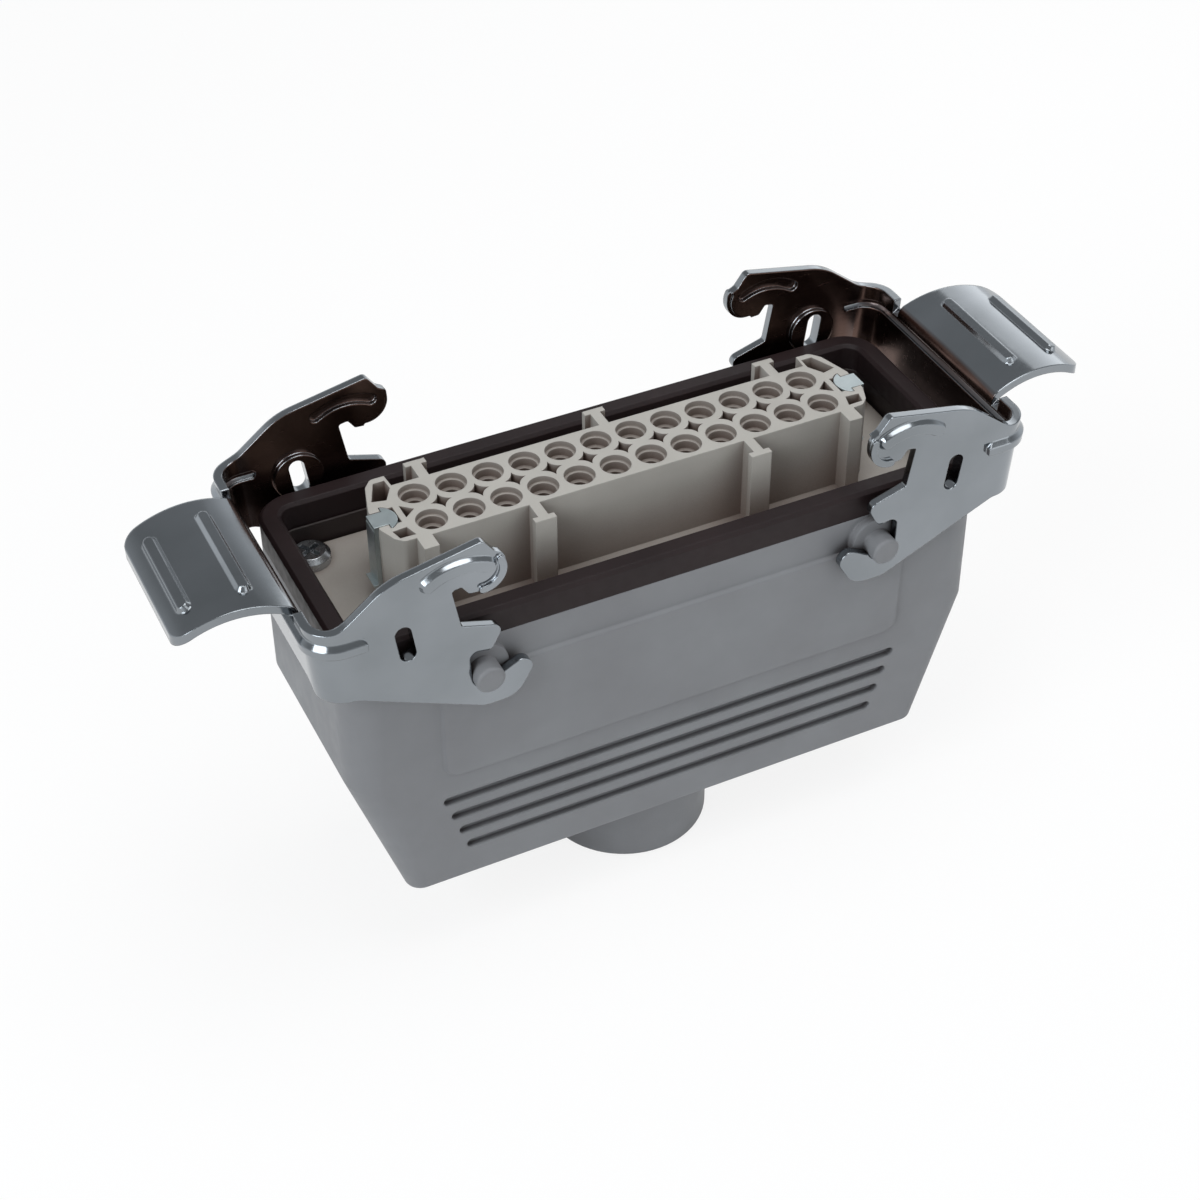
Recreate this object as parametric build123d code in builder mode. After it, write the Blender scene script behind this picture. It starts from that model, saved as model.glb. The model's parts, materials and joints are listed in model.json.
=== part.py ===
from build123d import *
from math import asin, cos, hypot, radians, sin
import os

os.makedirs("parts", exist_ok=True)

# A 24-pole rectangular power connector: a die-cast cable hood with its mouth up, two sprung-sheet
# locking levers on its pegs, a sealing ring on its rim and a socket insert screwed inside.
# Millimetres. The origin is the centre of the cable collar's lower face, +X runs along the hood
# and +Z points out of its mouth.

# Cable collar under the hood, tapped for an M25 x 1.5 gland
collar_diameter = 31.0
collar_height = 17.3
collar_chamfer = 0.6
gland_core_diameter = 23.4
gland_thread_depth = 14.0
cable_passage_diameter = 21.0

# Hood casting
hood_length = 118.6
hood_width = 43.4
hood_height = 54.0
foot_length = 101.2
foot_width = 41.0
taper_height = 27.0
rim_corner_radius = 6.5
taper_corner_radius = 5.0
foot_corner_radius = 3.0
foot_edge_radius = 0.8
floor_thickness = 3.5
cutout_length = 112.0
cutout_width = 35.0
cutout_corner_radius = 3.0

# Raised panel and four grooves on each long side
panel_length = 87.2
panel_height = 22.2
panel_drop = 6.5
panel_step = 0.7
panel_corner_radius = 3.0
panel_edge_angle = 30
groove_count = 4
groove_pitch = 3.95
groove_width = 1.9
groove_depth = 1.2
groove_inset = 13.0
groove_gap_below_panel = 5.8

# Pegs that carry the levers, cast on round bosses
peg_spacing = 73.0
peg_drop = 4.9
peg_diameter = 5.0
peg_end_margin = 1.9
peg_end_chamfer = 0.4
peg_boss_diameter = 9.2
peg_boss_rise = 1.5
peg_root_depth = 1.0

# Screw pads inside the mouth, on the standard 104 x 27 pattern
screw_spacing_x = 104.0
screw_spacing_y = 27.0
screw_pad_radius = 4.0
screw_pad_corner = 2.4
screw_pad_height = 16.0
screw_pad_root = 1.0
screw_diameter = 4.0
screw_clearance = 0.05

# Sealing ring on the rim
ring_height = 5.0
ring_inner_length = 111.2
ring_inner_width = 35.8
ring_inner_radius = 2.5
ring_edge = 0.6

# Moulded insert
flange_length = 111.0
flange_width = 34.0
flange_thickness = 3.0
flange_drop = 4.0
flange_corner_radius = 2.0
block_width = 14.8
block_rise = 15.5
rear_length = 89.0
rear_width = 25.0
rear_depth = 18.0
rear_corner_radius = 1.5
poles_per_row = 12
pole_pitch = 6.6
row_spacing = 7.57
row_end_margin = 2.3
crown_length = 6.2
crown_shoulder = 2.9
crown_corner_radius = 1.2
screw_hole_diameter = 4.4

# One pole of the insert, from the mouth down
entry_diameter = 5.3
entry_depth = 1.1
entry_seat_diameter = 4.4
entry_seat_depth = 2.6
pin_hole_diameter = 2.9
pin_hole_depth = 4.1
chamber_clearance = 0.1
cell_pocket_tip = 1.9
cell_pocket_depth = 6.0
end_pocket_depth = 8.0

# Polarising ribs along the block
rib_reach = 12.1
rib_head_width = 3.8
rib_head_thickness = 1.2
rib_stem_width = 1.8
rear_rib_poles = 5
front_rib_poles = 3
end_rib_x = 39.0
end_rib_width = 2.6
end_rib_reach = 10.5

# Socket contact and its clamping terminal
sleeve_diameter = 4.0
sleeve_bore = 2.6
sleeve_bore_depth = 12.0
sleeve_mouth_gap = 0.2
terminal_width = 5.2
terminal_depth = 5.6
terminal_height = 10.0
terminal_clearance = 0.1
terminal_recess = 0.5
wire_hole_diameter = 3.2
wire_hole_depth = 7.0
clamp_screw_diameter = 2.5
clamp_screw_length = 2.2
clamp_head_diameter = 4.4
clamp_head_height = 1.6
clamp_screw_height = 4.5
clamp_access_diameter = 5.0

# Earth contact at each end of the block
earth_sheet = 0.8
earth_bar_x = 41.0
earth_bar_width = 1.9
earth_bar_length = 5.6
earth_bar_radius = 3.2
earth_slot_gap = 0.15
earth_stem_width = 3.6
earth_offset_y = -0.2
earth_strip_length = 12.5
earth_leg_width = 4.0
earth_leg_end = 4.0
earth_screw_height = 8.0
earth_screw_diameter = 3.5
earth_screw_reach = 2.2
earth_head_diameter = 6.0
earth_head_height = 1.8
earth_head_clearance = 0.3
earth_hole_end_gap = 0.2

# Screws that hold the insert
screw_head_diameter = 7.0
screw_head_height = 2.2
screw_head_chamfer = 0.8
screw_length = 12.0
cross_width = 0.9
cross_span = 4.0
cross_depth = 1.3
cross_turn = 30

# Locking lever, one formed sheet
sheet = 1.5
cheek_clearance = 0.3
lever_bend_radius = 5.0
jaw_clearance = 0.06
web_top_x = 64.8
web_top_rise = 17.3
web_foot_rise = 6.2
web_lean = 1.3
bend_foot_rise = 3.2
web_notch_width = 38.0
web_notch_corner = 2.0
tab_tip_x = 82.8
tab_crown_x = 72.4
tab_crown_rise = 18.95
tab_root_width = 31.0
tab_tip_width = 28.0
tab_corner_radius = 3.0
tab_bend_radius = 2.3
tab_arc_radius = 18.4
tab_root_depth = 3.0
tab_relief = 1.6
slot_length = 7.1
slot_width = 2.8
slot_tilt = 82.4
slot_centre = (13.2, 11.4)
disc_radius = 4.4
disc_height = 1.0
bead_height = 0.9
bead_width = 2.9
bead_edge_angle = 30
tip_bead_x = 79.3
tip_bead_length = 20.0
root_bead_x = 70.0
root_bead_length = 22.2
corner_rib_start_x = 56.0
corner_rib_foot_rise = 12.2
corner_rib_height = 3.3
nose_centre = (0.0, 21.35)
nose_lip_angles = (155, 215, 272)
nose_lip_radius = 3.4
nose_lip_width = 1.2
nose_lip_height = 0.6

# Levels
floor_z = collar_height
taper_z = floor_z + taper_height
rim_z = floor_z + hood_height
flange_z = rim_z - flange_drop
seat_z = flange_z - flange_thickness
face_z = flange_z + block_rise
rear_z = seat_z - rear_depth
peg_z = rim_z - peg_drop
terminal_top_z = rear_z + terminal_height
chamber_top_z = face_z - pin_hole_depth
clamp_screw_z = rear_z + clamp_screw_height
earth_screw_z = rear_z + earth_screw_height

# Walls and slopes that follow from the sizes above
end_wall = (hood_length - cutout_length) / 2
side_wall = (hood_width - cutout_width) / 2
end_slope = (hood_length - foot_length) / 2 / taper_height
side_slope = (hood_width - foot_width) / 2 / hood_height
boss_reach = hood_width / 2 + peg_boss_rise
lever_width = 2 * (boss_reach + cheek_clearance + sheet)
peg_reach = lever_width / 2 + peg_end_margin
peg_root = cutout_width / 2 + peg_root_depth


def hood_length_at(z):
    return min(hood_length, foot_length + 2 * end_slope * (z - floor_z))


def hood_width_at(z):
    return foot_width + 2 * side_slope * (z - floor_z)


def side_plane(side, z):
    """The drafted long side at height z, looking outwards, with local y up the wall."""
    return Plane(
        origin=(0, side * hood_width_at(z) / 2, z),
        x_dir=(-side, 0, 0),
        z_dir=(0, side, -side_slope),
    )


# Hood: outer form lofted from foot to rim, open cavity, collar, screw pads and pegs
cavity_z = floor_z + floor_thickness
cavity_foot_length = hood_length_at(cavity_z) - 2 * end_wall * hypot(1, end_slope)
cavity_foot_width = foot_width - 2 * side_wall

with BuildPart() as hood_housing:
    for z, corner_radius in (
        (floor_z, foot_corner_radius),
        (taper_z, taper_corner_radius),
        (rim_z, rim_corner_radius),
    ):
        with BuildSketch(Plane.XY.offset(z)):
            RectangleRounded(hood_length_at(z), hood_width_at(z), corner_radius)
    loft(ruled=True)
    fillet(hood_housing.faces().sort_by(Axis.Z)[0].edges(), foot_edge_radius)

    with BuildSketch(Plane.XY.offset(cavity_z)):
        RectangleRounded(cavity_foot_length, cavity_foot_width, cutout_corner_radius)
    for z in (taper_z, rim_z):
        with BuildSketch(Plane.XY.offset(z)):
            RectangleRounded(cutout_length, cutout_width, cutout_corner_radius)
    loft(ruled=True, mode=Mode.SUBTRACT)

    with BuildSketch():
        Circle(collar_diameter / 2)
    extrude(amount=floor_z + floor_thickness / 2)
    with BuildSketch():
        Circle(gland_core_diameter / 2)
    extrude(amount=gland_thread_depth, mode=Mode.SUBTRACT)
    with BuildSketch():
        Circle(cable_passage_diameter / 2)
    extrude(amount=cavity_z, mode=Mode.SUBTRACT)
    chamfer(hood_housing.faces().sort_by(Axis.Z)[0].edges(), collar_chamfer)

    pad_x = screw_spacing_x / 2 - screw_pad_radius
    pad_y = screw_spacing_y / 2 - screw_pad_radius
    pad_end_x = cutout_length / 2 + screw_pad_root
    pad_end_y = cutout_width / 2 + screw_pad_root
    with BuildSketch(Plane.XY.offset(seat_z - screw_pad_height)):
        with GridLocations(pad_x + pad_end_x, pad_y + pad_end_y, 2, 2):
            RectangleRounded(pad_end_x - pad_x, pad_end_y - pad_y, screw_pad_corner)
    extrude(amount=screw_pad_height)
    with BuildSketch(Plane.XY.offset(seat_z)):
        with GridLocations(screw_spacing_x, screw_spacing_y, 2, 2):
            Circle(screw_diameter / 2 + screw_clearance)
    extrude(amount=-screw_length, mode=Mode.SUBTRACT)

    for side in (-1, 1):
        panel_z = rim_z - panel_drop - panel_height / 2
        with BuildSketch(side_plane(side, panel_z)):
            RectangleRounded(panel_length, panel_height, panel_corner_radius)
        extrude(amount=panel_step, taper=panel_edge_angle)
        for n in range(groove_count):
            groove_z = panel_z - panel_height / 2 - groove_gap_below_panel - n * groove_pitch
            with BuildSketch(side_plane(side, groove_z)):
                SlotOverall(hood_length_at(groove_z) - 2 * groove_inset, groove_width)
            extrude(amount=-groove_depth, mode=Mode.SUBTRACT)
        root = Plane((0, side * peg_root, peg_z), x_dir=(1, 0, 0), z_dir=(0, side, 0))
        for diameter, reach in ((peg_boss_diameter, boss_reach), (peg_diameter, peg_reach)):
            with BuildSketch(root):
                with GridLocations(peg_spacing, 1, 2, 1):
                    Circle(diameter / 2)
            extrude(amount=reach - peg_root)
    flat = hood_housing.faces().filter_by(Axis.Y)
    peg_ends = flat.filter_by(lambda face: abs(face.center().Y) > (boss_reach + peg_reach) / 2)
    chamfer(peg_ends.edges(), peg_end_chamfer)

# Sealing ring, seated on the rim
with BuildPart() as rim_gasket:
    with BuildSketch(Plane.XY.offset(rim_z)):
        RectangleRounded(hood_length, hood_width, rim_corner_radius)
        RectangleRounded(ring_inner_length, ring_inner_width, ring_inner_radius, mode=Mode.SUBTRACT)
    extrude(amount=ring_height)
    chamfer(rim_gasket.faces().sort_by(Axis.Z)[-1].edges(), ring_edge)

# Insert: flange, contact block with crowned ends and ribs, rear half with the wiring chambers
row_end = (poles_per_row - 1) / 2 * pole_pitch + row_end_margin
block_half = block_width / 2
crown_x = row_end + crown_length
poles = GridLocations(pole_pitch, row_spacing, poles_per_row, 2)

# Crown at each end of the block and its cored-out pockets, from the end of the rows
crown_outline = [
    (-1.0, block_half),
    (0.2, block_half),
    (0.4, block_half + crown_shoulder),
    (2.9, block_half + crown_shoulder),
    (4.4, block_half + 1.1),
    (crown_length, 2.5),
    (crown_length, -2.8),
    (crown_length - 1.2, -5.9),
    (crown_length - 2.5, -block_half + 0.2),
    (-1.0, -block_half),
]
crown_pockets = [
    [(-0.8, 0.0), (1.2, 1.8), (1.2, -1.6)],
    [(0.8, 9.1), (2.8, 9.1), (4.8, 4.6), (2.4, 4.0), (0.7, 6.8)],
    [(2.1, -3.9), (4.6, -4.1), (4.1, -6.2), (1.4, -6.3)],
]

# Four-pointed pocket between the cells of the two rows
with BuildSketch() as cell_pocket:
    with BuildLine():
        tip = cell_pocket_tip
        waist = 0.36 * tip
        ThreePointArc((tip, 0), (waist, waist), (0, tip))
        ThreePointArc((0, tip), (-waist, waist), (-tip, 0))
        ThreePointArc((-tip, 0), (-waist, -waist), (0, -tip))
        ThreePointArc((0, -tip), (waist, -waist), (tip, 0))
    make_face()


def earth_head(end, grow):
    """Plan of the earth contact's top: a round-backed bar and the tongue to the block's end."""
    with BuildSketch(Plane.XY.offset(face_z)) as plan:
        with Locations((end * (earth_bar_x + earth_bar_radius), earth_offset_y)):
            Circle(earth_bar_radius + grow)
        with Locations((end * (earth_bar_x + earth_bar_width / 2), earth_offset_y)):
            Rectangle(earth_bar_width + 2 * grow, earth_bar_length + 2 * grow, mode=Mode.INTERSECT)
        with Locations((end * (earth_bar_x + earth_bar_width + crown_x) / 2, earth_offset_y)):
            Rectangle(crown_x - earth_bar_x - earth_bar_width + sheet, earth_stem_width + 2 * grow)
    return plan.sketch


with BuildPart() as insert_body:
    with BuildSketch(Plane.XY.offset(seat_z)):
        RectangleRounded(flange_length, flange_width, flange_corner_radius)
        with GridLocations(screw_spacing_x, screw_spacing_y, 2, 2):
            Circle(screw_hole_diameter / 2, mode=Mode.SUBTRACT)
    extrude(amount=flange_thickness)
    with BuildSketch(Plane.XY.offset(seat_z)):
        Rectangle(2 * row_end, block_width)
        for end in (-1, 1):
            with BuildSketch(Plane.XY.offset(seat_z), mode=Mode.PRIVATE) as crown:
                Polygon(*[(end * (row_end + x), y) for x, y in crown_outline], align=None)
                outer = crown.vertices().filter_by(lambda v: abs(v.X) > row_end + 1)
                fillet(outer, crown_corner_radius)
            add(crown.sketch)
        for x, reach in (
            [(n * rear_rib_poles * pole_pitch, rib_reach) for n in (-1, 0, 1)]
            + [(n * front_rib_poles * pole_pitch, -rib_reach) for n in (-1, 1)]
        ):
            with Locations((x, reach / 2)):
                Rectangle(rib_stem_width, abs(reach))
            with Locations((x, reach - (rib_head_thickness / 2 if reach > 0 else -rib_head_thickness / 2))):
                Rectangle(rib_head_width, rib_head_thickness)
        with Locations((-end_rib_x, -end_rib_reach / 2), (end_rib_x, -end_rib_reach / 2)):
            Rectangle(end_rib_width, end_rib_reach)
    extrude(amount=face_z - seat_z)

    with BuildSketch(Plane.XY.offset(rear_z)):
        RectangleRounded(rear_length, rear_width, rear_corner_radius)
    extrude(amount=rear_depth)

    for diameter, top, depth in (
        (entry_diameter, 0, entry_depth),
        (entry_seat_diameter, entry_depth, entry_seat_depth),
        (pin_hole_diameter, entry_seat_depth, pin_hole_depth),
    ):
        with BuildSketch(Plane.XY.offset(face_z - top)):
            with poles:
                Circle(diameter / 2)
        extrude(amount=top - depth, mode=Mode.SUBTRACT)
    with BuildSketch(Plane.XY.offset(terminal_top_z)):
        with poles:
            Circle(sleeve_diameter / 2 + chamber_clearance)
    extrude(amount=chamber_top_z - terminal_top_z, mode=Mode.SUBTRACT)
    with BuildSketch(Plane.XY.offset(rear_z)):
        with poles:
            Rectangle(terminal_width + 2 * terminal_clearance, terminal_depth + 2 * terminal_clearance)
    extrude(amount=terminal_height, mode=Mode.SUBTRACT)
    for side in (-1, 1):
        with BuildSketch(Plane((0, side * rear_width / 2, clamp_screw_z), (1, 0, 0), (0, side, 0))):
            with GridLocations(pole_pitch, 1, poles_per_row, 1):
                Circle(clamp_access_diameter / 2)
        extrude(amount=-(rear_width - row_spacing) / 2 + terminal_depth / 2, mode=Mode.SUBTRACT)

    with BuildSketch(Plane.XY.offset(face_z)):
        with GridLocations(pole_pitch, 1, poles_per_row - 1, 1):
            add(cell_pocket.sketch)
    extrude(amount=-cell_pocket_depth, mode=Mode.SUBTRACT)
    with BuildSketch(Plane.XY.offset(face_z)):
        for end in (-1, 1):
            for pocket in crown_pockets:
                Polygon(*[(end * (row_end + x), y) for x, y in pocket], align=None)
    extrude(amount=-end_pocket_depth, mode=Mode.SUBTRACT)
    for end in (-1, 1):
        extrude(earth_head(end, earth_slot_gap), amount=-earth_sheet, mode=Mode.SUBTRACT)
        with BuildSketch(Plane.XY.offset(face_z)):
            with Locations((end * (earth_bar_x + earth_sheet / 2), earth_offset_y)):
                Rectangle(earth_sheet + 2 * earth_slot_gap, earth_leg_width + 2 * earth_slot_gap)
        extrude(amount=-(face_z - rear_z), mode=Mode.SUBTRACT)
        outside = Plane((end * rear_length / 2, earth_offset_y, earth_screw_z), (0, end, 0), (end, 0, 0))
        with BuildSketch(outside):
            Circle(earth_head_diameter / 2 + earth_head_clearance)
        extrude(amount=earth_bar_x + earth_sheet - rear_length / 2, mode=Mode.SUBTRACT)
        with BuildSketch(outside):
            Circle(earth_screw_diameter / 2 + 2 * screw_clearance)
        extrude(amount=earth_bar_x - earth_screw_reach - rear_length / 2, mode=Mode.SUBTRACT)

# Socket contacts: a sleeve above a clamping block, each in its own chamber
pole_points = [(point.position.X, point.position.Y) for point in poles.locations]
contacts = {}
for number, (x, y) in enumerate(pole_points, start=1):
    with BuildPart() as contact:
        with BuildSketch(Plane.XY.offset(terminal_top_z)):
            with Locations((x, y)):
                Rectangle(terminal_width, terminal_depth)
        extrude(amount=terminal_recess - terminal_height)
        with BuildSketch(Plane.XY.offset(terminal_top_z)):
            with Locations((x, y)):
                Circle(sleeve_diameter / 2)
        extrude(amount=chamber_top_z - sleeve_mouth_gap - terminal_top_z)
        with BuildSketch(Plane.XY.offset(chamber_top_z)):
            with Locations((x, y)):
                Circle(sleeve_bore / 2)
        extrude(amount=-sleeve_bore_depth, mode=Mode.SUBTRACT)
        with BuildSketch(Plane.XY.offset(rear_z)):
            with Locations((x, y)):
                Circle(wire_hole_diameter / 2)
        extrude(amount=wire_hole_depth, mode=Mode.SUBTRACT)
        outwards = 1 if y > 0 else -1
        with BuildSketch(Plane((x, y, clamp_screw_z), (1, 0, 0), (0, outwards, 0))):
            Circle(clamp_screw_diameter / 2 + screw_clearance)
        extrude(amount=terminal_depth, mode=Mode.SUBTRACT)
    contacts[f"contact_{number:02d}"] = contact

# Clamping screws of the 24 poles, reached from the sides
with BuildPart() as terminal_screws:
    for side in (-1, 1):
        head_y = side * (row_spacing + terminal_depth) / 2
        head_plane = Plane((0, head_y, clamp_screw_z), (1, 0, 0), (0, side, 0))
        with BuildSketch(head_plane):
            with GridLocations(pole_pitch, 1, poles_per_row, 1):
                Circle(clamp_head_diameter / 2)
        extrude(amount=clamp_head_height)
        with BuildSketch(head_plane):
            with GridLocations(pole_pitch, 1, poles_per_row, 1):
                Circle(clamp_screw_diameter / 2)
        extrude(amount=-clamp_screw_length)

# Earth contacts: a T-shaped tongue let into the block, a strip down its end and a leg to the screw
with BuildPart() as earth_contact_right:
    extrude(earth_head(1, 0), amount=-earth_sheet)
    with BuildSketch(Plane.XY.offset(face_z - earth_sheet)):
        with Locations((crown_x + earth_sheet / 2, earth_offset_y)):
            Rectangle(earth_sheet, earth_stem_width)
    extrude(amount=-(earth_strip_length - earth_sheet))
    with BuildSketch(Plane.XY.offset(face_z - earth_strip_length)):
        with Locations((crown_x + earth_sheet, earth_offset_y)):
            Rectangle(2 * earth_sheet, earth_stem_width)
    extrude(amount=earth_sheet)
    fillet(
        earth_contact_right.edges()
        .filter_by(Axis.Y)
        .group_by(Axis.X)[-1]
        .sort_by(Axis.Z)[0],
        earth_sheet * 0.8,
    )
    with BuildSketch(Plane.XY.offset(face_z - earth_sheet)):
        with Locations((earth_bar_x + earth_sheet / 2, earth_offset_y)):
            Rectangle(earth_sheet, earth_leg_width)
    extrude(amount=-(face_z - earth_sheet - rear_z - earth_leg_end))
    with BuildSketch(Plane((earth_bar_x, earth_offset_y, earth_screw_z), (0, 1, 0), (1, 0, 0))):
        Circle(earth_screw_diameter / 2 + screw_clearance)
    extrude(amount=earth_sheet, mode=Mode.SUBTRACT)

with BuildPart() as earth_contact_left:
    add(mirror(earth_contact_right.part, about=Plane.YZ))

# Earth clamping screws, one at each end of the insert
with BuildPart() as earth_terminal_screws:
    for end in (-1, 1):
        under_head = Plane(
            (end * (earth_bar_x + earth_sheet), earth_offset_y, earth_screw_z), (0, end, 0), (end, 0, 0)
        )
        with BuildSketch(under_head):
            Circle(earth_head_diameter / 2)
        extrude(amount=earth_head_height)
        with BuildSketch(under_head):
            Circle(earth_screw_diameter / 2)
        extrude(amount=earth_hole_end_gap - earth_screw_reach - earth_sheet)

# Cross-recessed screws that hold the insert on the pads
with BuildPart() as insert_screws:
    with BuildSketch(Plane.XY.offset(flange_z)):
        with GridLocations(screw_spacing_x, screw_spacing_y, 2, 2):
            Circle(screw_head_diameter / 2)
    extrude(amount=screw_head_height)
    chamfer(insert_screws.faces().filter_by(Axis.Z).group_by(Axis.Z)[-1].edges(), screw_head_chamfer)
    with BuildSketch(Plane.XY.offset(flange_z)):
        with GridLocations(screw_spacing_x, screw_spacing_y, 2, 2):
            Circle(screw_diameter / 2)
    extrude(amount=-screw_length)
    with BuildSketch(Plane.XY.offset(flange_z + screw_head_height)):
        with GridLocations(screw_spacing_x, screw_spacing_y, 2, 2):
            Rectangle(cross_span, cross_width, rotation=cross_turn)
            Rectangle(cross_width, cross_span, rotation=cross_turn)
    extrude(amount=-cross_depth, mode=Mode.SUBTRACT)

# Lever cheek: corners of its outline from the peg's centre, each with its rounding
cheek_corners = [
    ((30.0, web_top_rise), 0.0),
    ((23.8, web_top_rise), 6.0),
    ((15.6, 23.7), 12.0),
    ((-0.4, 26.9), 1.0),
    ((-2.3, 24.3), 0.8),
    ((-3.9, 23.4), 1.4),
    ((-4.3, 17.1), 4.0),
    ((2.3, 17.6), 0.5),
    ((3.5, 19.3), 0.5),
    ((5.2, 19.0), 0.5),
    ((3.9, 11.4), 0.7),
    ((-3.3, 9.2), 1.4),
    ((-1.0, 4.9), 1.0),
    ((2.8, 5.6), 1.4),
    ((2.6, 0.0), 0.0),
    ((-2.6, -0.8), 0.0),
    ((-6.4, 1.1), 1.6),
    ((-8.4, -0.8), 1.7),
    ((-5.1, -6.4), 4.2),
    ((0.6, -6.5), 4.0),
    ((21.9, bend_foot_rise), 3.0),
    ((30.0, bend_foot_rise), 0.0),
]
peg_x = peg_spacing / 2
jaw_radius = peg_diameter / 2 + jaw_clearance
web_slope = web_lean / web_top_rise
lever_plane = Plane((peg_x, 0, peg_z), x_dir=(1, 0, 0), z_dir=(0, -1, 0))


def web_outer(rise):
    """Distance of the leaning web's outer face from the peg, at a height above the peg."""
    return web_top_x - peg_x - web_slope * (web_top_rise - rise)


def sheet_ring(rise, grow, thickness, start):
    """Plan of the bent sheet at a height above the peg, closed at start, grown outwards by grow."""
    with BuildSketch(Plane.XY.offset(peg_z + rise)) as plan:
        end = web_outer(rise) + grow
        with Locations((peg_x + (start + end) / 2, 0)):
            Rectangle(end - start, lever_width + 2 * grow)
        fillet(plan.vertices().group_by(Axis.X)[-1], lever_bend_radius + grow)
        offset(amount=-thickness, mode=Mode.SUBTRACT)
    return plan.sketch


# Tab: the top of the web bends out into a crowned finger tab
with BuildPart() as lever_tab:
    crown_dx = tab_crown_x - peg_x
    tab_dx = tab_tip_x - peg_x
    with BuildSketch(lever_plane) as tab_profile:
        with Locations((crown_dx, tab_crown_rise - tab_arc_radius)):
            Circle(tab_arc_radius)
            Circle(tab_arc_radius - sheet, mode=Mode.SUBTRACT)
        low = web_top_rise - tab_root_depth
        high = web_top_rise - sheet
        top = tab_crown_rise + sheet
        Polygon(
            (web_outer(low) - sheet, low),
            (web_outer(top) - sheet, top),
            (tab_dx, top),
            (tab_dx, low - 2 * sheet),
            (web_outer(low), low - 2 * sheet),
            align=None,
            mode=Mode.INTERSECT,
        )
        Polygon(
            (web_outer(low) - sheet, low),
            (web_outer(low), low),
            (web_outer(high), high),
            (web_outer(high) - sheet, high),
            align=None,
        )
        reach = web_outer(top) + sheet / 5
        at_web = tab_profile.vertices().filter_by(lambda v: v.X < reach).sort_by(Axis.Y)
        fillet(at_web[-1], tab_bend_radius)
        at_web = tab_profile.vertices().filter_by(lambda v: v.X < reach and v.Y > low + sheet / 5)
        fillet(at_web.sort_by(Axis.Y)[0], tab_bend_radius - sheet)
    extrude(amount=tab_root_width / 2, both=True)
    with BuildSketch(Plane.XY.offset(peg_z)) as tab_plan:
        Polygon(
            (web_top_x - 3 * sheet, -tab_root_width / 2),
            (tab_tip_x, -tab_tip_width / 2),
            (tab_tip_x, tab_tip_width / 2),
            (web_top_x - 3 * sheet, tab_root_width / 2),
            align=None,
        )
        fillet(tab_plan.vertices().group_by(Axis.X)[-1], tab_corner_radius)
    extrude(amount=2 * web_top_rise, mode=Mode.INTERSECT)


def corner_band(foot, height, grow, thickness, start_x):
    """A band round the lever's two corners and along its web, open at the cheeks."""
    with BuildPart() as band:
        ring = sheet_ring(foot, grow, thickness, start_x - peg_x - 2 * sheet)
        extrude(ring, amount=height, dir=(web_slope, 0, 1))
        with Locations((start_x - 2 * sheet, 0, peg_z + foot)):
            Box(4 * sheet, 2 * lever_width, 4 * height, mode=Mode.SUBTRACT)
        levels = band.edges().group_by(Axis.Z)
        chamfer(levels[0] + levels[-1], 0.3 * height)
    return band.part


# Stiffening rib pressed round the two corners and along the web, with its groove inside
corner_rib = corner_band(
    corner_rib_foot_rise, corner_rib_height, bead_height, bead_height + sheet, corner_rib_start_x
)
groove_inset_z = corner_rib_height / 4
corner_groove = corner_band(
    corner_rib_foot_rise + groove_inset_z,
    corner_rib_height - 2 * groove_inset_z,
    bead_height - sheet,
    2 * bead_height,
    corner_rib_start_x + groove_inset_z,
)


def nose_arc(radius):
    """Arc along the hook's nose, on which its flared edge lies."""
    x, y = nose_centre
    angles = [radians(degrees) for degrees in nose_lip_angles]
    return ThreePointArc(*[(x + radius * cos(angle), y + radius * sin(angle)) for angle in angles])


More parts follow.
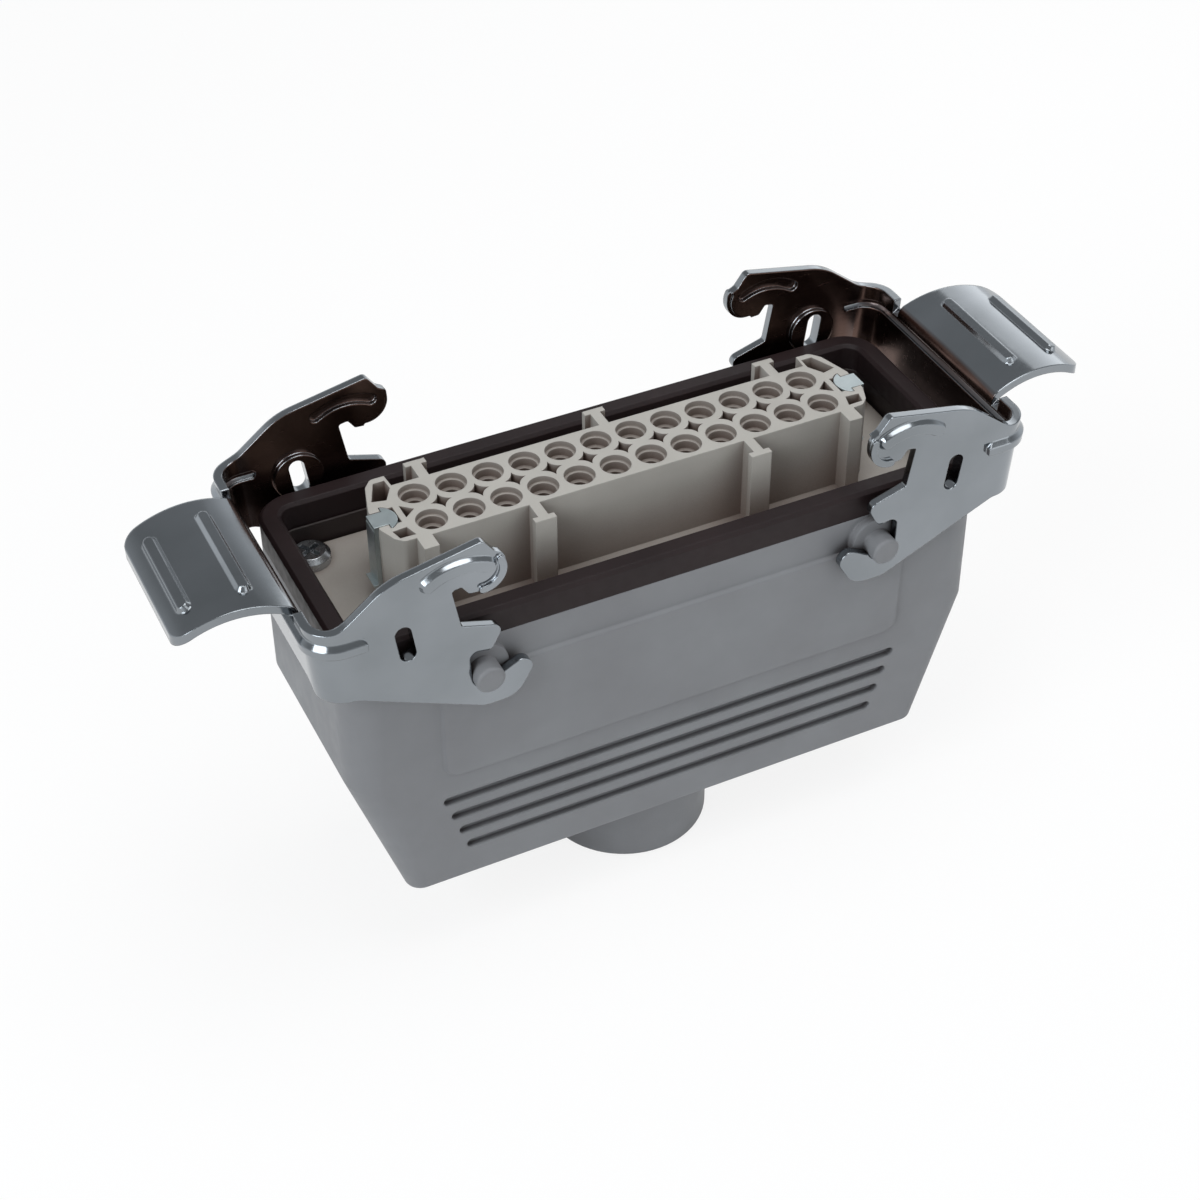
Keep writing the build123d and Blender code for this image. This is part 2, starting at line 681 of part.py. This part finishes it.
# Levers: two cheeks and a web cut from one bent sheet, with jaws on the pegs. One half is made with
# its pressed beads and mirrored.
hook_bead = ThreePointArc((9.05, 21.75), (3.6, 23.45), (-0.95, 22.35))
nose_lip = nose_arc(nose_lip_radius)
nose_recess = nose_arc(nose_lip_radius + nose_lip_width / 2)
cheek_face = lever_plane.offset(lever_width / 2)
with BuildPart() as right_lever:
    blank_foot, blank_height = -10.0, 40.0
    start = min(x for (x, rise), radius in cheek_corners) - 2 * sheet
    extrude(sheet_ring(blank_foot, 0, sheet, start), amount=blank_height, dir=(web_slope, 0, 1))
    with BuildSketch(lever_plane):
        with BuildLine():
            FilletPolyline(
                *[corner for corner, radius in cheek_corners],
                radius=[radius for corner, radius in cheek_corners],
                close=True,
            )
        make_face()
    extrude(amount=lever_width, both=True, mode=Mode.INTERSECT)
    with BuildSketch(lever_plane):
        Circle(jaw_radius)
    extrude(amount=lever_width, both=True, mode=Mode.SUBTRACT)
    with BuildSketch(Plane((web_top_x + sheet, 0, peg_z), x_dir=(0, 1, 0), z_dir=(1, 0, 0))) as web_notch:
        flank = web_notch_width / 2
        Polygon(
            (-flank - web_notch_corner, bend_foot_rise),
            (-flank, web_foot_rise),
            (flank, web_foot_rise),
            (flank + web_notch_corner, bend_foot_rise),
            align=None,
        )
        fillet(web_notch.vertices().group_by(Axis.Y)[-1], web_notch_corner)
    extrude(amount=-4 * sheet, mode=Mode.SUBTRACT)
    with Locations((web_top_x, 0, peg_z + web_top_rise)):
        Box(4 * sheet, tab_root_width + 2 * tab_relief, 2 * tab_root_depth - 1, mode=Mode.SUBTRACT)
    add(lever_tab.part)
    add(corner_rib)
    add(corner_groove, mode=Mode.SUBTRACT)

    for bead_x, bead_length in ((tip_bead_x, tip_bead_length), (root_bead_x, root_bead_length)):
        lean = asin((bead_x - tab_crown_x) / tab_arc_radius)
        bead_rise = tab_crown_rise - tab_arc_radius * (1 - cos(lean))
        top = Plane((bead_x, 0, peg_z + bead_rise), x_dir=(0, 1, 0), z_dir=(sin(lean), 0, cos(lean)))
        with BuildSketch(top.offset(-bead_height / 4)):
            SlotOverall(bead_length, bead_width)
        extrude(amount=bead_height * 5 / 4, taper=bead_edge_angle)
        with BuildSketch(top.offset(-sheet - bead_height / 4)):
            SlotOverall(bead_length - bead_height, bead_width - bead_height)
        extrude(amount=bead_height, mode=Mode.SUBTRACT)

    split(bisect_by=Plane.XZ)
    with BuildSketch(cheek_face):
        SlotArc(hook_bead, bead_width)
    extrude(amount=bead_height, taper=bead_edge_angle)
    with BuildSketch(cheek_face.offset(-sheet)):
        SlotArc(hook_bead, bead_width - bead_height)
    extrude(amount=bead_height, mode=Mode.SUBTRACT)
    with BuildSketch(cheek_face):
        SlotArc(nose_lip, nose_lip_width)
    extrude(amount=nose_lip_height)
    with BuildSketch(cheek_face.offset(-sheet)):
        SlotArc(nose_recess, nose_lip_width)
    extrude(amount=nose_lip_height, mode=Mode.SUBTRACT)
    with BuildSketch(cheek_face.offset(-sheet)):
        with Locations(slot_centre):
            Circle(disc_radius)
    extrude(amount=-disc_height)
    with BuildSketch(cheek_face):
        with Locations(slot_centre):
            SlotOverall(slot_length, slot_width, rotation=slot_tilt)
    extrude(amount=-sheet - disc_height, mode=Mode.SUBTRACT)
    mirror(about=Plane.XZ)

with BuildPart() as left_lever:
    mirror(right_lever.part, about=Plane.YZ)

for name, piece in (
    ("hood_housing", hood_housing),
    ("rim_gasket", rim_gasket),
    ("insert_body", insert_body),
    ("terminal_screws", terminal_screws),
    ("earth_contact_left", earth_contact_left),
    ("earth_contact_right", earth_contact_right),
    ("earth_terminal_screws", earth_terminal_screws),
    ("insert_screws", insert_screws),
    ("left_lever", left_lever),
    ("right_lever", right_lever),
    *contacts.items(),
):
    piece.part.label = name
    export_step(piece.part, f"parts/{name}.step")
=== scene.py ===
import json
from math import radians

import bpy
from mathutils import Matrix, Vector


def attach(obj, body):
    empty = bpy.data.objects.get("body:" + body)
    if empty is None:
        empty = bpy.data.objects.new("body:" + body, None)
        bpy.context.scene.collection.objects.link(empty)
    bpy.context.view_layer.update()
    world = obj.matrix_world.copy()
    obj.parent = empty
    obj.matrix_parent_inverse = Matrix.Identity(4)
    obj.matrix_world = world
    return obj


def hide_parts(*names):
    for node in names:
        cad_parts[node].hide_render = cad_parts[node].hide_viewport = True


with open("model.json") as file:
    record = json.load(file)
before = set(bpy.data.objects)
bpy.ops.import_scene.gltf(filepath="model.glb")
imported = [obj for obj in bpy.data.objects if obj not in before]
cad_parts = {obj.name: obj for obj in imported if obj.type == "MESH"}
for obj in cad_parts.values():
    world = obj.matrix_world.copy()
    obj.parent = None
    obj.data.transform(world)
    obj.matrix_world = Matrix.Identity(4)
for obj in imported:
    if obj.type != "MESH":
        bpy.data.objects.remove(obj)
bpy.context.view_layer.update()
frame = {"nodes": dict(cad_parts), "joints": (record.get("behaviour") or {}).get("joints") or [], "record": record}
nodes = frame["nodes"]
MM = 0.001
PEG_X = next(joint for joint in frame["joints"] if joint["name"] == "right_lever_swing")["pos_m"][0]

# Materials

SHADING_SAMPLES = 8
CLOSED_AT = 0.1


def srgb(hex_colour):
    """Linear colour of a #rrggbb code."""
    parts = [int(hex_colour[i:i + 2], 16) / 255 for i in (1, 3, 5)]
    return tuple(c / 12.92 if c <= 0.04045 else ((c + 0.055) / 1.055) ** 2.4 for c in parts) + (1.0,)


class Nodes:
    """Helpers that add nodes to a tree."""

    def __init__(self, tree):
        self.tree = tree

    def link(self, output, node_input):
        self.tree.links.new(output, node_input)

    def spread(self, fac, low, high, from_low=0.3, from_high=0.7):
        """Maps a pattern's middle range to a range of values."""
        node = self.tree.nodes.new("ShaderNodeMapRange")
        node.inputs["From Min"].default_value = from_low
        node.inputs["From Max"].default_value = from_high
        node.inputs["To Min"].default_value = low
        node.inputs["To Max"].default_value = high
        self.link(fac, node.inputs["Value"])
        return node.outputs["Result"]

    def maths(self, operation, first, second):
        """A Math node's result for two inputs, each a number or another node's output."""
        node = self.tree.nodes.new("ShaderNodeMath")
        node.operation = operation
        for value, socket in ((first, node.inputs[0]), (second, node.inputs[1])):
            if isinstance(value, (int, float)):
                socket.default_value = value
            else:
                self.link(value, socket)
        return node.outputs[0]

    def vector_maths(self, operation, *vectors):
        """The outputs of a Vector Math node for one or two vectors."""
        node = self.tree.nodes.new("ShaderNodeVectorMath")
        node.operation = operation
        for vector, socket in zip(vectors, node.inputs):
            self.link(vector, socket)
        return node.outputs

    def parts(self, vector):
        """The x, y and z of a vector."""
        node = self.tree.nodes.new("ShaderNodeSeparateXYZ")
        self.link(vector, node.inputs[0])
        return node.outputs

    def seen(self):
        """1 for rays that show the background: from the camera, in metal and through glass."""
        path = self.tree.nodes.new("ShaderNodeLightPath").outputs
        reflected = self.maths("MAXIMUM", path["Is Glossy Ray"], path["Is Transmission Ray"])
        return self.maths("MAXIMUM", path["Is Camera Ray"], reflected)


class Finish(Nodes):
    """A node material with one Principled shader and helpers that feed it."""

    def __init__(self, name, metallic=0.0, specular=0.5):
        self.material = bpy.data.materials.new(name)
        self.material.use_nodes = True
        super().__init__(self.material.node_tree)
        self.shader = self.tree.nodes["Principled BSDF"]
        self.shader.inputs["Metallic"].default_value = metallic
        self.shader.inputs["Specular IOR Level"].default_value = specular
        coordinates = self.tree.nodes.new("ShaderNodeTexCoord").outputs
        self.place = coordinates["Object"]
        self.facing = coordinates["Normal"]
        self.shaded_normal = None

    def stretched(self, scale):
        """Object coordinates stretched along the axes, for rolled or drawn grain."""
        mapping = self.tree.nodes.new("ShaderNodeMapping")
        mapping.inputs["Scale"].default_value = scale
        self.link(self.place, mapping.inputs["Vector"])
        return mapping.outputs["Vector"]

    def noise(self, scale, detail=4.0, where=None, roughness=0.5):
        """A noise pattern in object space, finer for a larger scale."""
        node = self.tree.nodes.new("ShaderNodeTexNoise")
        node.inputs["Scale"].default_value = scale
        node.inputs["Detail"].default_value = detail
        node.inputs["Roughness"].default_value = roughness
        self.link(where or self.place, node.inputs["Vector"])
        return node.outputs["Fac"]

    def openness(self, distance, open_at):
        """1 on open surfaces, down to 0 in corners, pockets and gaps up to a distance across."""
        node = self.tree.nodes.new("ShaderNodeAmbientOcclusion")
        node.inputs["Distance"].default_value = distance
        node.samples = SHADING_SAMPLES
        return self.spread(node.outputs["AO"], 0, 1, CLOSED_AT, open_at)

    def mix(self, fac, first, second):
        """Colour between two, each a constant or another node's output."""
        node = self.tree.nodes.new("ShaderNodeMix")
        node.data_type = "RGBA"
        self.link(fac, node.inputs[0])
        # Inputs 6 and 7 and output 2 are the node's sockets for colours.
        for value, socket in ((first, node.inputs[6]), (second, node.inputs[7])):
            if isinstance(value, tuple):
                socket.default_value = value
            else:
                self.link(value, socket)
        return node.outputs[2]

    def mottled(self, scale, dark, light):
        """Colour that drifts between two in patches, smaller for a larger scale."""
        return self.mix(self.spread(self.noise(scale), 0, 1), dark, light)

    def colour(self, value):
        self.link(value, self.shader.inputs["Base Color"])

    def roughness(self, value):
        self.link(value, self.shader.inputs["Roughness"])

    def shade_with(self, normal):
        self.shaded_normal = normal
        self.link(normal, self.shader.inputs["Normal"])

    def soft_edges(self, radius):
        """Rounds sharp edges in shading, as casting and plating do."""
        node = self.tree.nodes.new("ShaderNodeBevel")
        node.inputs["Radius"].default_value = radius
        node.samples = SHADING_SAMPLES
        self.shade_with(node.outputs["Normal"])

    def bump(self, height, strength, distance):
        """Relief from a pattern, on top of the soft edges."""
        node = self.tree.nodes.new("ShaderNodeBump")
        node.inputs["Strength"].default_value = strength
        node.inputs["Distance"].default_value = distance
        self.link(height, node.inputs["Height"])
        if self.shaded_normal:
            self.link(self.shaded_normal, node.inputs["Normal"])
        self.shade_with(node.outputs["Normal"])


def inward(finish, axis_x):
    """How far a surface faces the nearer of two upright axes at x and -x: 1 facing it, -1 away."""
    x, y = finish.parts(finish.place)[:2]
    nearer_axis = finish.maths("MULTIPLY", finish.maths("SIGN", x, 0), axis_x)
    outward = finish.tree.nodes.new("ShaderNodeCombineXYZ")
    finish.link(finish.maths("SUBTRACT", x, nearer_axis), outward.inputs["X"])
    finish.link(y, outward.inputs["Y"])
    direction = finish.vector_maths("NORMALIZE", outward.outputs[0])["Vector"]
    away = finish.vector_maths("DOT_PRODUCT", direction, finish.facing)["Value"]
    return finish.maths("MULTIPLY", away, -1)


# A box round the mouth whose sides run inside the hood's walls; within it the hood's inner walls get painted shade
MOUTH_HALF_LENGTH = 57.9 * MM
MOUTH_HALF_WIDTH = 20.3 * MM
MOUTH_FLOOR_Z = 55 * MM
NOT_OUTWARD = -0.1


def painted_inside_shade(finish):
    """1 on the hood's inner walls and ledge above its insert, which get painted dark shade."""
    x, y, z = finish.parts(finish.place)
    along = finish.maths("LESS_THAN", finish.maths("ABSOLUTE", x, 0), MOUTH_HALF_LENGTH)
    across = finish.maths("LESS_THAN", finish.maths("ABSOLUTE", y, 0), MOUTH_HALF_WIDTH)
    above = finish.maths("GREATER_THAN", z, MOUTH_FLOOR_Z)
    within = finish.maths("MULTIPLY", finish.maths("MULTIPLY", along, across), above)
    return finish.maths("MULTIPLY", within, finish.maths("GREATER_THAN", inward(finish, 0), NOT_OUTWARD))


def powder_coat():
    """Grey coat of the hood, with painted dark brown shade in its recesses, grooves and on its inner walls."""
    finish = Finish("hood_powder_coat", specular=0.4)
    coat = finish.mottled(60, srgb("#76777a"), srgb("#7d7f82"))
    outside = finish.maths("SUBTRACT", 1, painted_inside_shade(finish))
    # Painted shade: dark brown in recesses and grooves and on the inner walls of the mouth, grey coat elsewhere
    unshaded = finish.maths("MULTIPLY", finish.openness(18 * MM, open_at=0.5), outside)
    finish.colour(finish.mix(unshaded, srgb("#2a2120"), coat))
    finish.roughness(finish.spread(finish.noise(300), 0.46, 0.56))
    finish.soft_edges(0.55 * MM)
    finish.bump(finish.noise(1400, 3), 0.3, 0.04 * MM)
    return finish.material


def seal_rubber():
    """Dark matt rubber of the sealing ring."""
    finish = Finish("seal_rubber", specular=0.22)
    finish.colour(finish.mottled(90, srgb("#1e1516"), srgb("#251b1c")))
    finish.roughness(finish.spread(finish.noise(500), 0.42, 0.56))
    finish.soft_edges(0.25 * MM)
    finish.bump(finish.noise(2500, 3), 0.25, 0.03 * MM)
    return finish.material


def moulded_plastic():
    """Satin pebble grey plastic of the insert, with brown painted shade where it is deep."""
    finish = Finish("insert_plastic", specular=0.45)
    body = finish.mottled(120, srgb("#a5a29c"), srgb("#aca9a3"))
    # Painted shade: brown in pockets, deep corners and low sides, from ambient occlusion
    finish.colour(finish.mix(finish.openness(14 * MM, open_at=0.75), srgb("#67564e"), body))
    finish.roughness(finish.spread(finish.noise(400), 0.4, 0.5))
    finish.soft_edges(0.25 * MM)
    finish.bump(finish.noise(3000, 2), 0.12, 0.02 * MM)
    return finish.material


FACES_IN_FROM = 0.5
FACES_IN_FULLY = 0.75
PAINTED_REFLECTION_END_X = 65.0 * MM
SHEET_START_X = 65.6 * MM
PAINTED_REFLECTION_DULLNESS = 0.12


def bright_sheet():
    """Bright plated sheet of the levers, with a painted dark brown reflection on its inner side up to the tab."""
    finish = Finish("lever_bright_sheet", metallic=1.0)
    sheet = finish.mottled(45, srgb("#82878b"), srgb("#94999e"))
    # Painted reflection: the inner faces get a dark brown that stands in for the dark seal and hood they mirror
    painted_reflection = finish.mottled(160, srgb("#52403a"), srgb("#64514a"))
    inner_side = finish.spread(inward(finish, PEG_X), 0, 1, FACES_IN_FROM, FACES_IN_FULLY)
    reach = finish.maths("ABSOLUTE", finish.parts(finish.place)["X"], 0)
    beside_tab = finish.spread(reach, 1, 0, PAINTED_REFLECTION_END_X, SHEET_START_X)
    painted_reflection_mask = finish.maths("MULTIPLY", inner_side, beside_tab)
    finish.colour(finish.mix(painted_reflection_mask, sheet, painted_reflection))
    grain = finish.noise(500, 5, finish.stretched((0.5, 2.0, 2.0)), 0.6)
    dullness = finish.maths("MULTIPLY", painted_reflection_mask, PAINTED_REFLECTION_DULLNESS)
    finish.roughness(finish.maths("ADD", finish.spread(grain, 0.1, 0.16), dullness))
    finish.soft_edges(0.45 * MM)
    finish.bump(grain, 0.015, 0.01 * MM)
    return finish.material


def plated(name, dark, light, smooth, rough):
    """Plated metal of a small part, between two colours and two roughnesses."""
    finish = Finish(name, metallic=1.0)
    finish.colour(finish.mottled(250, srgb(dark), srgb(light)))
    finish.roughness(finish.spread(finish.noise(700, 5), smooth, rough))
    finish.soft_edges(0.12 * MM)
    finish.bump(finish.noise(1200, 2), 0.03, 0.02 * MM)
    return finish.material


finishes = {
    "hood_paint": powder_coat(),
    "seal_rubber": seal_rubber(),
    "insert_plastic": moulded_plastic(),
    "lever_steel": bright_sheet(),
    "screw_steel": plated("screw_plating", "#a6a9ac", "#bbbec1", 0.22, 0.32),
    "earth_zinc": plated("earth_plating", "#b8c4c6", "#ccd6d8", 0.32, 0.42),
    "contact_brass": plated("contact_silver", "#b5ac96", "#cfc8b4", 0.25, 0.4),
}
for part in frame["record"]["subparts"]:
    node = nodes[part["node"]]
    node.data.materials.clear()
    node.data.materials.append(finishes[part["material_slot"]])

# Lever sheets

WEB_FOOT_X = 61 * MM
WEB_FOOT_Z = 72.7 * MM
FOOT_END_Y = 21 * MM
FOOT_BLEND_Y = 2 * MM
FOOT_DROP = 0.9 * MM


def drawn_down(name):
    """The lever's sheet with the middle of its web's foot lower, which hides the gap at the seal."""
    sheet = bpy.data.objects.new(name + "_sheet", nodes[name].data.copy())
    for vertex in sheet.data.vertices:
        x, y, z = (abs(value) for value in vertex.co)
        if x > WEB_FOOT_X and z < WEB_FOOT_Z:
            vertex.co.z -= FOOT_DROP * min(1.0, max(0.0, (FOOT_END_Y - y) / FOOT_BLEND_Y))
    bpy.context.scene.collection.objects.link(sheet)
    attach(sheet, name)
    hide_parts(name)


for name in ("left_lever", "right_lever"):
    drawn_down(name)

# Floor, light and camera

# The floor reads white in the picture, and near the object it still takes a faint shadow.
FLOOR_HALF = 3.0
WHITE_SHARE_NEAR = 0.85
NEAR = 0.3
FAR = 1.2
floor_mesh = bpy.data.meshes.new("floor")
corners = [(x * FLOOR_HALF, y * FLOOR_HALF, 0) for x, y in ((-1, -1), (1, -1), (1, 1), (-1, 1))]
floor_mesh.from_pydata(corners, [], [(0, 1, 2, 3)])
floor = bpy.data.objects.new("floor", floor_mesh)
bpy.context.scene.collection.objects.link(floor)
paper = Finish("floor_paper", specular=0.1)
paper.colour(paper.mottled(8, (0.88, 0.88, 0.88, 1), (0.9, 0.9, 0.9, 1)))
paper.shader.inputs["Roughness"].default_value = 0.9
white = paper.tree.nodes.new("ShaderNodeEmission")
blend = paper.tree.nodes.new("ShaderNodeMixShader")
distance = paper.vector_maths("LENGTH", paper.place)["Value"]
white_share = paper.spread(distance, WHITE_SHARE_NEAR, 1.0, NEAR, FAR)
paper.link(paper.maths("MULTIPLY", paper.seen(), white_share), blend.inputs[0])
paper.link(paper.shader.outputs[0], blend.inputs[1])
paper.link(white.outputs[0], blend.inputs[2])
paper.link(blend.outputs[0], paper.tree.nodes["Material Output"].inputs["Surface"])
floor_mesh.materials.append(paper.material)

# The world lights the object evenly. Seen directly or in metal, it is white at the horizon.
LIGHT_STRENGTH = 0.36
HORIZON_STRENGTH = 1.05
HORIZON_HEIGHT = 0.15
OVERHEAD_HEIGHT = 0.5
world = bpy.data.worlds.new("studio")
bpy.context.scene.world = world
world.use_nodes = True
studio = Nodes(world.node_tree)
sky = studio.tree.nodes["Background"]
sky.inputs["Color"].default_value = (0.95, 0.975, 1.0, 1)
height = studio.parts(studio.tree.nodes.new("ShaderNodeTexCoord").outputs["Generated"])["Z"]
backdrop = studio.spread(height, HORIZON_STRENGTH, LIGHT_STRENGTH, HORIZON_HEIGHT, OVERHEAD_HEIGHT)
over_light = studio.maths("SUBTRACT", backdrop, LIGHT_STRENGTH)
seen_share = studio.maths("MULTIPLY", studio.seen(), over_light)
studio.link(studio.maths("ADD", seen_share, LIGHT_STRENGTH), sky.inputs["Strength"])


def softbox(name, place, target, size, power, colour=(1, 1, 1)):
    """A rectangular lamp that faces a target and doesn't show in the picture."""
    light = bpy.data.lights.new(name, "AREA")
    light.shape = "RECTANGLE"
    light.size, light.size_y = size
    light.energy = power
    light.color = colour
    box = bpy.data.objects.new(name, light)
    box.location = place
    box.rotation_euler = (Vector(target) - Vector(place)).to_track_quat("-Z", "Y").to_euler()
    box.visible_camera = False
    bpy.context.scene.collection.objects.link(box)


MIDDLE = (0, 0, 0.06)
RIGHT_TAB = (0.075, 0, 0.085)
softbox("key_left", (-0.9, -0.4, 0.75), MIDDLE, size=(0.6, 0.6), power=7.0, colour=(0.93, 0.97, 1.0))
softbox("top", (0.15, -0.1, 1.1), MIDDLE, size=(0.7, 0.7), power=6.0)
softbox("front", (0.5, -0.9, 0.5), MIDDLE, size=(0.6, 0.6), power=1.3)
softbox("back_right", (0.29, 0.25, 0.21), RIGHT_TAB, size=(0.22, 0.2), power=0.12)

CAMERA_PLACE = (-0.13639, -0.27554, 0.30951)
CAMERA_TURN = -25.57
CAMERA_LOOKS_DOWN = 40.25
CAMERA_ROLL = -0.456
camera = bpy.data.cameras.new("photo_camera")
camera.lens = 68.31
camera.sensor_width = 36.0
camera.clip_start = 0.01
camera_object = bpy.data.objects.new("photo_camera", camera)
turn = Matrix.Rotation(radians(CAMERA_TURN), 4, "Z")
tilt = Matrix.Rotation(radians(90 - CAMERA_LOOKS_DOWN), 4, "X")
roll = Matrix.Rotation(radians(CAMERA_ROLL), 4, "Z")
camera_object.matrix_world = Matrix.Translation(CAMERA_PLACE) @ turn @ tilt @ roll
bpy.context.scene.collection.objects.link(camera_object)
bpy.context.scene.camera = camera_object
bpy.context.scene.view_settings.view_transform = "Standard"
